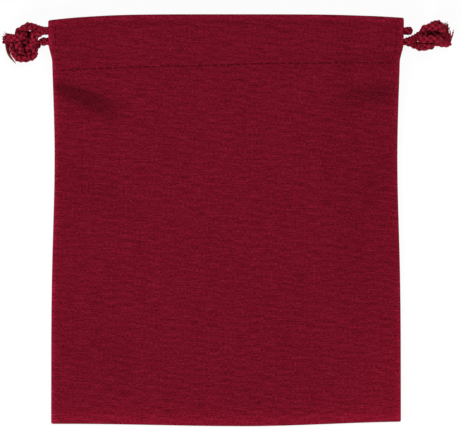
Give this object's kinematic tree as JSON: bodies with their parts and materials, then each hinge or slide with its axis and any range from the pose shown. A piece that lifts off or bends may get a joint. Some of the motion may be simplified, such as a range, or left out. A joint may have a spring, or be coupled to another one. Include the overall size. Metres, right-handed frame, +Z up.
{
  "type": "drawstring pouch",
  "caption": "Flat drawstring pouch of crepe cloth, with stitched cord channels at its mouth and knotted braided cords drawn from both sides.",
  "frame": {"origin": "middle of the cloth pouch as it lies, on the surface that it lies on", "axes": "+Z up, out of the front panel; +Y from the bottom fold towards the mouth; +X to the right as seen from the front"},
  "size_m": [0.1538, 0.1414, 0.0127],
  "materials": {
    "crepe_cloth": "matte crepe",
    "braided_cord": "matte braid"
  },
  "bodies": {
    "root": {"pouch_cloth": "crepe_cloth", "drawcord_left": "braided_cord", "drawcord_right": "braided_cord"}
  },
  "joints": []
}
